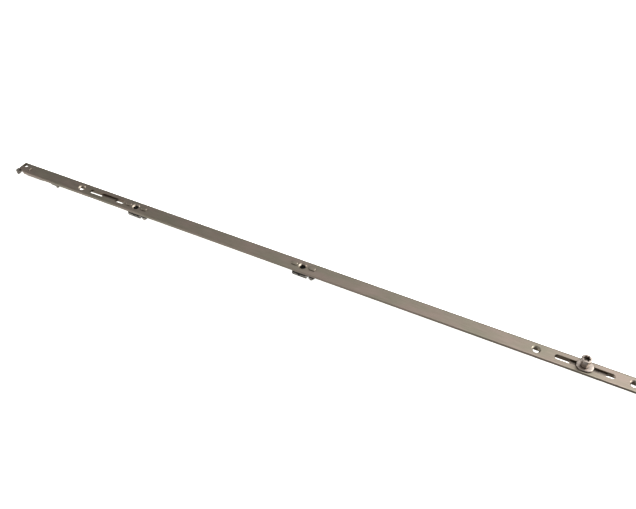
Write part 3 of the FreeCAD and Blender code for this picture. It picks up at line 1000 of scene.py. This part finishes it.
@dataclass
class CouplingEnd(SubAssembly):
    """Claw under the left end of the rod, its hook, and the driver lug beside it."""

    claw_half_width_mm: float = 4.5
    arm_y_mm: Point2 = (-0.9, 2.6)
    claw_thickness_mm: float = 2.2
    hook_length_mm: float = 3.8
    hook_y_mm: Point2 = (-5.6, -0.9)
    hook_top_mm: float = -2.8
    hook_bottom_mm: float = -9.8
    hook_chamfer_mm: float = 1.4
    hook_corner_mm: float = 0.5
    # From the left tip of the hook to the shoulder of the claw and to the arm's hidden end.
    shoulder_mm: float = 8.0
    arm_inset_mm: float = 0.6
    # Slope of the claw's far and near shoulders along the rail.
    shoulder_slope_mm: Point2 = (1.2, 7.5)
    claw_corner_mm: float = 0.8
    claw_edge_mm: float = 0.3
    lug_thickness_mm: float = 1.6
    lug_half_width_mm: float = 4.9
    lug_outer_mm: float = -6.1
    lug_root_mm: float = -4.4
    lug_profile_mm: tuple[Point2, ...] = (
        (-10.2, -5.2),
        (-10.2, -5.9),
        (-4.2, -6.1),
        (-3.9, -8.5),
        (-1.8, -8.5),
        (0.0, -6.1),
        (0.0, -5.2),
    )
    lug_corner_mm: float = 0.9
    bend_corner_mm: float = 0.4
    lug_edge_mm: float = 0.22
    rivet_radius_mm: float = 1.25
    tail_radius_mm: float = 2.1
    tail_height_mm: float = 0.9
    rivet_edge_mm: float = 0.08

    def build(self) -> None:
        """Build claw and lug and dress their rivets."""
        self.adopt(self._claw(), "coupling_claw", Body.ROD, Slot.CLAW)
        self.adopt(self._lug(), "driver_lug", Body.ROD, Slot.CLAW)
        self.dress("claw_rivets", Slot.FASTENER, self.rivet_edge_mm)
        self.dress("lug_rivets", Slot.FASTENER, self.rivet_edge_mm)

    def _rivet_places(self, node: str) -> list[float]:
        """X of both rivets of a pair, from the box round their tails."""
        low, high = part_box(node)
        tail = self.tail_radius_mm * MM
        return [low.x + tail, high.x - tail]

    def _claw(self) -> bpy.types.Object:
        """Stamped claw with a hook turned down past the end of the faceplate.

        Returns:
            The claw.
        """
        low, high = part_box("coupling_claw")
        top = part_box("claw_rivets")[0].z + (self.tail_height_mm + self.claw_thickness_mm) * MM
        half = self.claw_half_width_mm
        left, right = low.x / MM + self.shoulder_mm, high.x / MM
        arm_end = low.x / MM + self.arm_inset_mm
        near_arm, far_arm = self.arm_y_mm
        far_slope, near_slope = self.shoulder_slope_mm
        corners = [
            (right, half),
            (left, half),
            (left - far_slope, far_arm),
            (arm_end, far_arm),
            (arm_end, near_arm),
            (left, near_arm),
            (left + near_slope, -half),
            (right, -half),
        ]
        outline = [(px * MM, py * MM) for px, py in rounded_outline(corners, self.claw_corner_mm)]
        claw = plate("stamped_claw", outline, top - self.claw_thickness_mm * MM, top)
        chamfer, length = self.hook_chamfer_mm, self.hook_length_mm
        profile = (
            (0.0, self.hook_top_mm - chamfer / 2),
            (chamfer / 2, self.hook_top_mm),
            (length, self.hook_top_mm),
            (length, self.hook_bottom_mm + chamfer),
            (length - chamfer, self.hook_bottom_mm),
            (chamfer, self.hook_bottom_mm),
            (0.0, self.hook_bottom_mm + chamfer),
        )
        rounded = rounded_outline(profile, self.hook_corner_mm)
        hook_outline = [(low.x + px * MM, pz * MM) for px, pz in rounded]
        near, far = (value * MM for value in self.hook_y_mm)
        carve(claw, slab("hook", hook_outline, near, far), "UNION")
        for x in self._rivet_places("claw_rivets"):
            drill(claw, x, self.rivet_radius_mm * MM, low.z - CUT_OVERRUN, high.z + CUT_OVERRUN)
        round_edges(claw, self.claw_edge_mm)
        return claw

    def _lug(self) -> bpy.types.Object:
        """Bracket with one lug bent down beside the rod.

        Returns:
            The bracket.
        """
        low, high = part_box("driver_lug")
        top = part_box("lug_rivets")[0].z + (self.tail_height_mm + self.lug_thickness_mm) * MM
        half = self.lug_half_width_mm
        corners = ((low.x / MM, -half), (high.x / MM, -half), (high.x / MM, half), (low.x / MM, half))
        outline = [(px * MM, py * MM) for px, py in rounded_outline(corners, self.lug_corner_mm)]
        lug = plate("stamped_lug", outline, top - self.lug_thickness_mm * MM, top)
        rounded = rounded_outline(self.lug_profile_mm, self.bend_corner_mm)
        bend = [(high.x + px * MM, pz * MM) for px, pz in rounded]
        carve(lug, slab("bend", bend, self.lug_outer_mm * MM, self.lug_root_mm * MM), "UNION")
        for x in self._rivet_places("lug_rivets"):
            drill(lug, x, self.rivet_radius_mm * MM, low.z - CUT_OVERRUN, high.z + CUT_OVERRUN)
        round_edges(lug, self.lug_edge_mm)
        return lug


@dataclass
class CamGroup(SubAssembly):
    """Locking cam on its oval guide disc, with the stud, bush and washers that hold it."""

    facets: int = 8
    facet_rounding_mm: float = 0.75
    eccentricity_mm: float = 0.8
    socket_radius_mm: float = 2.85
    socket_swing_mm: float = 0.42
    socket_lobes: int = 6
    socket_bottom_mm: float = 8.0
    # Half the height of the lead-in at the socket's mouth and how much wider it gets there.
    flare_mm: float = 0.35
    flare_scale: float = 1.16
    bore_mm: float = 2.06
    counterbore_mm: float = 3.0
    counterbore_z_mm: float = 7.2
    # How far the bore and the counterbore run into the socket.
    bore_overlap_mm: float = 0.1
    counterbore_overlap_mm: float = 0.05
    stud_hole_mm: float = 2.5
    fastener_edge_mm: float = 0.06
    bush_edge_mm: float = 0.08
    disc_end_steps: int = 32
    # Scale and share of the height of each ring of the disc.
    disc_rings: tuple[Point2, ...] = (
        (0.985, 0.0),
        (1.0, 0.12),
        (1.0, 0.55),
        (0.985, 0.8),
        (0.955, 0.95),
        (0.91, 1.0),
        (0.5, 1.0),
    )
    # Height, radius and share of the eccentricity of each ring of the cam.
    rings_mm: tuple[Point3, ...] = (
        (1.85, 3.7, 0.5),
        (2.15, 4.0, 0.5),
        (4.2, 4.2, 0.7),
        (6.2, 4.55, 1.0),
        (7.2, 4.95, 1.0),
        (10.2, 4.98, 1.0),
        (10.7, 4.84, 1.0),
        (10.92, 4.6, 1.0),
        (11.0, 4.3, 1.0),
    )

    def build(self) -> None:
        """Build the cam and the disc and dress the stud, bush, washers and ring."""
        self.adopt(self._cam(), "locking_cam", Body.CAM, Slot.CAM)
        self.adopt(self._disc(), "cam_guide_disc", Body.ROD, Slot.CAM)
        for node in ("cam_stud", "cam_backing_washer", "cam_friction_washer", "cam_retaining_ring"):
            self.dress(node, Slot.FASTENER, self.fastener_edge_mm)
        self.dress("cam_slot_bush", Slot.NYLON, self.bush_edge_mm)

    def _facet_ring(self, radius: float) -> list[Point2]:
        """Eight-sided outline with rounded corners."""
        corners = []
        for index in range(self.facets):
            angle = (index + 0.5) * 2 * math.pi / self.facets
            corners.append((radius * math.cos(angle), radius * math.sin(angle)))
        return rounded_outline(corners, self.facet_rounding_mm)

    def _cam(self) -> bpy.types.Object:
        """Eight-sided eccentric cam, wider at the head, with a star socket.

        Returns:
            The cam.
        """
        axis, throw = cam_axis(), self.eccentricity_mm * MM
        rings = [
            upright(self._facet_ring(radius), axis - throw * share, 0.0, z * MM)
            for z, radius, share in self.rings_mm
        ]
        cam = loft("eccentric_cam", rings)
        low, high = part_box("locking_cam")
        head_x = axis - throw
        socket = star(self.socket_radius_mm, self.socket_swing_mm, self.socket_lobes)
        floor = self.socket_bottom_mm * MM
        flare = [
            upright(socket, head_x, 0.0, floor),
            upright(socket, head_x, 0.0, high.z - self.flare_mm * MM),
            upright(socket, head_x, 0.0, high.z + self.flare_mm * MM, self.flare_scale),
        ]
        carve(cam, loft("socket", flare))
        bore_top = floor + self.bore_overlap_mm * MM
        drill(cam, axis, self.bore_mm * MM, low.z - CUT_OVERRUN, bore_top)
        counterbore_top = floor + self.counterbore_overlap_mm * MM
        drill(cam, axis, self.counterbore_mm * MM, self.counterbore_z_mm * MM, counterbore_top)
        shade(cam, CAM_SHARP_ANGLE)
        return cam

    def _disc(self) -> bpy.types.Object:
        """Oval disc with a rolled upper edge, bored for the stud.

        Returns:
            The disc.
        """
        low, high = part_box("cam_guide_disc")
        axis = cam_axis()
        half_length = (high.x - low.x) / 2 / MM
        half_width = (high.y - low.y) / 2 / MM
        height = high.z - low.z
        outline = oval(half_length, half_width, self.disc_end_steps)
        rings = [
            upright(outline, axis, 0.0, low.z + share * height, scale) for scale, share in self.disc_rings
        ]
        disc = loft("oval_disc", rings)
        drill(disc, axis, self.stud_hole_mm * MM, low.z - CUT_OVERRUN, high.z + CUT_OVERRUN)
        shade(disc, SHARP_ANGLE)
        return disc


@dataclass(frozen=True)
class Softbox:
    """Area lamp: where it stands, what it faces, its size in metres, its power in watts and its colour."""

    name: str
    place: Point3
    target: Point3
    size: Point2
    power: float
    colour_hex: str

    def build(self) -> None:
        """Set the lamp up and aim it."""
        data = bpy.data.lights.new(self.name, "AREA")
        data.shape = "RECTANGLE"
        data.size, data.size_y = self.size
        data.energy = self.power
        data.color = linear(self.colour_hex)[:3]
        lamp = bpy.data.objects.new(self.name, data)
        lamp.location = self.place
        aim = Vector(self.target) - Vector(self.place)
        lamp.rotation_euler = aim.to_track_quat("-Z", "Y").to_euler()
        bpy.context.collection.objects.link(lamp)


@dataclass
class Studio:
    """Pale floor, soft light and the camera."""

    floor_half: float = 20.0
    floor_gap_mm: float = 0.05
    softboxes: tuple[Softbox, ...] = (
        Softbox("left_softbox", (-1.7, 0.1, 0.2), (0.0, 0.0, 0.0), (0.8, 0.5), 9.0, "fffcf6"),
        Softbox("right_softbox", (1.5, 0.5, 0.8), (0.25, 0.0, 0.0), (0.8, 0.6), 6.0, "f2fbf4"),
    )
    camera_place: Point3 = (0.212076, -0.434161, 0.501375)
    camera_right: Point3 = (0.89635363, 0.4433398, 0.0)
    camera_up: Point3 = (-0.31121937, 0.62922979, 0.71218845)
    lens_mm: float = 39.285
    sensor_mm: float = 36.0
    near_clip: float = 0.01
    # X component of the direction and brightness of the surroundings there.
    wall_light: tuple[Point2, ...] = (
        (-1.0, 0.18),
        (-0.62, 0.25),
        (-0.3, 0.65),
        (0.0, 0.98),
        (0.3, 2.4),
        (0.6, 3.8),
        (1.0, 4.4),
    )
    # Height over which the wall grows bright, and the share of its light at both ends.
    horizon: Point2 = (-0.05, 0.3)
    horizon_light: Point2 = (0.3, 1.0)
    # The room in front turns into the wall behind over this range of Y plus a share of Z.
    wall_start: Point2 = (-0.2, 0.35)
    wall_lean: float = 0.35
    # A reflector low on the left: where it lies, how it fades towards its middle, and its brightness.
    panel_direction: Point3 = (-0.72, 0.12, -0.68)
    panel_fade: Point2 = (0.88, 0.97)
    panel_light: float = 2.2
    air_hex: str = "fffdfa"
    room_light: tuple[Point2, ...] = (
        (-1.0, 0.7),
        (-0.5, 0.68),
        (-0.2, 0.6),
        (0.0, 0.44),
        (0.2, 0.26),
        (0.7, 0.06),
        (1.0, 0.06),
    )

    def build(self) -> None:
        """Set the floor, the soft surroundings, the lamps and the camera."""
        self._floor()
        self._surroundings()
        for softbox in self.softboxes:
            softbox.build()
        self._camera()

    def _floor(self) -> None:
        """White lit paper just under the lowest point."""
        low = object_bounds()[0].z - self.floor_gap_mm * MM
        mesh = bpy.data.meshes.new("paper_floor")
        half = self.floor_half
        corners = [(-half, -half, low), (half, -half, low), (half, half, low), (-half, half, low)]
        mesh.from_pydata(corners, [], [(0, 1, 2, 3)])
        floor = bpy.data.objects.new("paper_floor", mesh)
        bpy.context.collection.objects.link(floor)
        mesh.materials.append(LitPaper("lit_paper", "ffffff", "fafaf8", 0.0, 0.9).build())
        # The paper hangs far below a real set, so it neither lights the steel nor shows in it.
        floor.visible_glossy = False
        floor.visible_diffuse = False
        floor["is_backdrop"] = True

    def _surroundings(self) -> None:
        """Surround the set with a wall behind, brighter to the right, and a dimmer room in front."""
        world = bpy.data.worlds.new("studio")
        world.use_nodes = True
        tree = world.node_tree
        background = tree.nodes["Background"]
        direction = add_node(tree, "ShaderNodeTexCoord").outputs["Generated"]
        x, y, z = add_node(tree, "ShaderNodeSeparateXYZ", None, {0: direction}).outputs
        wall = self._ramp(tree, x, self.wall_light)
        room = self._ramp(tree, x, self.room_light)
        rise = self._fade(tree, z, self.horizon, self.horizon_light)
        raised = add_node(tree, "ShaderNodeMath", {"operation": "MULTIPLY"}, {0: wall, 1: rise}).outputs[0]
        lean = {0: z, 1: self.wall_lean, 2: y}
        behind = add_node(tree, "ShaderNodeMath", {"operation": "MULTIPLY_ADD"}, lean).outputs[0]
        share = self._fade(tree, behind, self.wall_start, (0.0, 1.0))
        both = {0: share, 2: room, 3: raised}
        spread = add_node(tree, "ShaderNodeMix", {"data_type": "FLOAT"}, both).outputs[0]
        facing = {0: direction, 1: Vector(self.panel_direction).normalized()}
        towards = add_node(tree, "ShaderNodeVectorMath", {"operation": "DOT_PRODUCT"}, facing)
        panel = self._fade(tree, towards.outputs["Value"], self.panel_fade, (0.0, self.panel_light))
        power = add_node(tree, "ShaderNodeMath", {"operation": "ADD"}, {0: spread, 1: panel})
        background.inputs["Color"].default_value = linear(self.air_hex)
        tree.links.new(power.outputs[0], background.inputs["Strength"])
        bpy.context.scene.world = world
        bpy.context.scene.view_settings.view_transform = "Standard"

    def _fade(
        self, tree: bpy.types.NodeTree, value: bpy.types.NodeSocket, source: Point2, target: Point2
    ) -> bpy.types.NodeSocket:
        """Fade from one brightness to another.

        Args:
            tree: Node tree of the surroundings.
            value: Value that drives the fade.
            source: Range of the value.
            target: Brightness at both ends.

        Returns:
            The brightness.
        """
        values = {0: value, 1: source[0], 2: source[1], 3: target[0], 4: target[1]}
        return add_node(tree, "ShaderNodeMapRange", None, values).outputs[0]

    def _ramp(
        self, tree: bpy.types.NodeTree, value: bpy.types.NodeSocket, stops: Sequence[Point2]
    ) -> bpy.types.NodeSocket:
        """Brightness along one direction, from minus one to one.

        Args:
            tree: Node tree of the surroundings.
            value: Component of the direction.
            stops: Direction component and brightness of each stop.

        Returns:
            The brightness.
        """
        curve = add_node(tree, "ShaderNodeFloatCurve", None, {"Value": value})
        mapping = curve.mapping
        mapping.use_clip = False
        line = mapping.curves[0]
        while len(line.points) < len(stops):
            line.points.new(0.0, 0.0)
        for point, stop in zip(line.points, stops):
            point.location = stop
            point.handle_type = "VECTOR"
        mapping.update()
        return curve.outputs[0]

    def _camera(self) -> None:
        """Camera at the viewing angle."""
        data = bpy.data.cameras.new("camera")
        data.lens = self.lens_mm
        data.sensor_width = self.sensor_mm
        data.clip_start = self.near_clip
        right, up = Vector(self.camera_right), Vector(self.camera_up)
        back = right.cross(up)
        turn = Matrix((right, up, back)).transposed()
        camera = bpy.data.objects.new("camera", data)
        camera.matrix_world = Matrix.Translation(self.camera_place) @ turn.to_4x4()
        bpy.context.collection.objects.link(camera)
        bpy.context.scene.camera = camera


def main() -> None:
    """Build everything in order."""
    shelf = FinishShelf()
    shelf.stock()
    Strip(shelf).build()
    GuideStation(shelf, "left").build()
    GuideStation(shelf, "middle").build()
    CouplingEnd(shelf).build()
    CamGroup(shelf).build()
    Studio().build()


if __name__ == "__main__":
    main()
